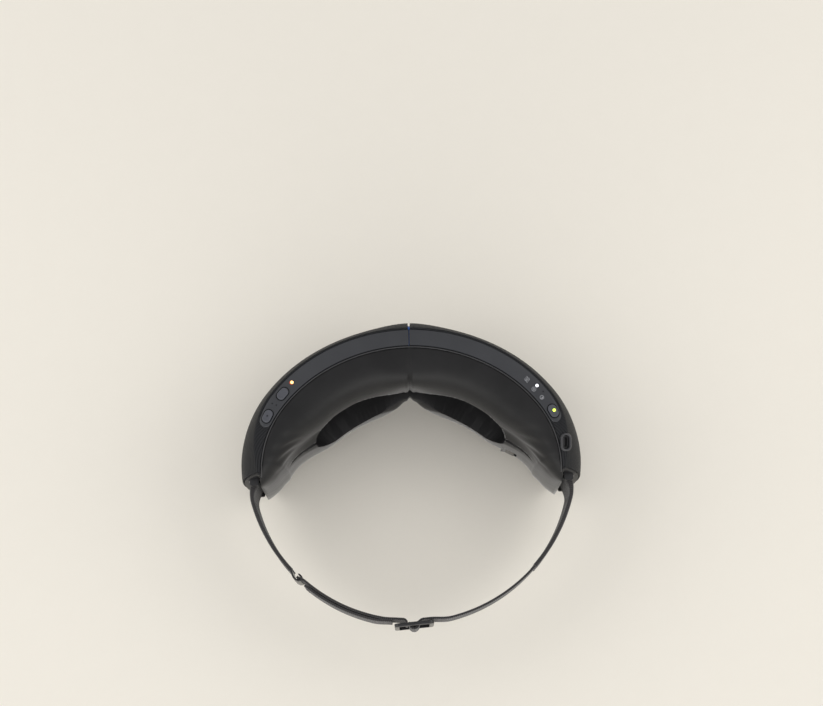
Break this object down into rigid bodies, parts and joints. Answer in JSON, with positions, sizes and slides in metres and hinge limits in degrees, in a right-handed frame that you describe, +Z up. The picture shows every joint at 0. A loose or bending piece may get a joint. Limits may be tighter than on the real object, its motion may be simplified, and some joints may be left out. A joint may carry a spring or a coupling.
{
  "type": "eye massager mask",
  "caption": "Folding eye massager mask with a perforated visor, padded face side with eye pockets, heat, air and vibration inside, top keys and an adjustable strap.",
  "frame": {"origin": "middle of the footprint, on the surface the mask stands on", "axes": "+Z up the wearer's face, +Y the way the wearer looks, +X to the wearer's right"},
  "size_m": [0.22, 0.1933, 0.0945],
  "materials": {
    "mesh": "perforated, matt",
    "shell": "moulded, matt",
    "band": "soft-touch",
    "pad": "soft, fine grain",
    "eye_panel": "smooth knit",
    "bladder": "film",
    "heater": "film",
    "gusset": "elastic",
    "board": "lacquered",
    "steel": "satin",
    "brass": "turned",
    "webbing": "woven",
    "black": "satin",
    "light": "frosted",
    "cell": "wrapped"
  },
  "bodies": {
    "left_half": {"battery_cell": "cell", "hinge_gusset": "gusset", "hinge_pin": "steel", "left_air_bladder": "bladder", "left_back_frame": "shell", "left_bottom_band": "band", "left_end_cap": "black", "left_eye_panel": "eye_panel", "left_face_pad": "pad", "left_frame_screw": "steel", "left_heater_sheet": "heater", "left_hinge_leaf": "steel", "left_key_board": "board", "left_mesh_cover": "mesh", "left_motor_can": "steel", "left_strap_bar": "steel", "left_top_band": "band", "left_visor_shell": "shell", "main_board": "board", "power_light": "light", "pump_head": "black", "pump_motor": "steel"},
    "right_half": {"charge_board": "board", "port_bezel": "black", "right_air_bladder": "bladder", "right_back_frame": "shell", "right_bottom_band": "band", "right_end_cap": "black", "right_eye_panel": "eye_panel", "right_face_pad": "pad", "right_frame_screw": "steel", "right_heater_sheet": "heater", "right_hinge_leaf": "steel", "right_key_board": "board", "right_mesh_cover": "mesh", "right_motor_can": "steel", "right_strap_bar": "steel", "right_top_band": "band", "right_visor_shell": "shell", "second_cell": "cell", "sensor_window": "black", "status_light": "light", "usb_socket": "steel", "valve_block": "black"},
    "power_key": {"power_key": "band"},
    "mode_key": {"mode_key": "band"},
    "select_key": {"select_key": "band"},
    "left_weight": {"left_motor_weight": "brass"},
    "right_weight": {"right_motor_weight": "brass"},
    "pump_crank": {"pump_crank": "brass"},
    "left_strap": {"left_strap_tab": "webbing", "clasp_hook": "black", "left_band": "webbing", "slider": "black"},
    "right_strap": {"right_strap_tab": "webbing", "right_band": "webbing"}
  },
  "joints": [
    {"name": "fold_hinge", "type": "hinge", "parent": "left_half", "child": "right_half", "pos_m": [0, 0.077, 0.068], "axis": [0, 0, -1], "range_deg": [0, 50]},
    {"name": "left_strap_swing", "type": "hinge", "parent": "left_half", "child": "left_strap", "pos_m": [-0.1, -0.003, 0.0437], "axis": [0, 0, -1], "range_deg": [-1, 49]},
    {"name": "right_strap_swing", "type": "hinge", "parent": "right_half", "child": "right_strap", "pos_m": [0.1, -0.003, 0.0437], "axis": [0, 0, -1], "range_deg": [-49, 1]},
    {"name": "power_key_press", "type": "slide", "parent": "left_half", "child": "power_key", "axis": [0, 0, -1], "range_m": [0, 0.0008], "stiffness_N_per_m": 250},
    {"name": "mode_key_press", "type": "slide", "parent": "left_half", "child": "mode_key", "axis": [0, 0, -1], "range_m": [0, 0.0008], "stiffness_N_per_m": 250},
    {"name": "select_key_press", "type": "slide", "parent": "right_half", "child": "select_key", "axis": [0, 0, -1], "range_m": [0, 0.0008], "stiffness_N_per_m": 250},
    {"name": "left_motor_spin", "type": "hinge", "parent": "left_half", "child": "left_weight", "pos_m": [-0.09952, 0.02159, 0.046], "axis": [0, 0, 1], "continuous": true},
    {"name": "right_motor_spin", "type": "hinge", "parent": "right_half", "child": "right_weight", "pos_m": [0.09952, 0.02159, 0.046], "axis": [0, 0, 1], "continuous": true},
    {"name": "pump_spin", "type": "hinge", "parent": "left_half", "child": "pump_crank", "pos_m": [-0.08976, 0.04128, 0.0436], "axis": [0, 0, 1], "continuous": true}
  ],
  "couplings": [
    {"joint": "left_strap_swing", "follows": "fold_hinge", "ratio": 0.963},
    {"joint": "right_strap_swing", "follows": "fold_hinge", "ratio": -0.963}
  ]
}
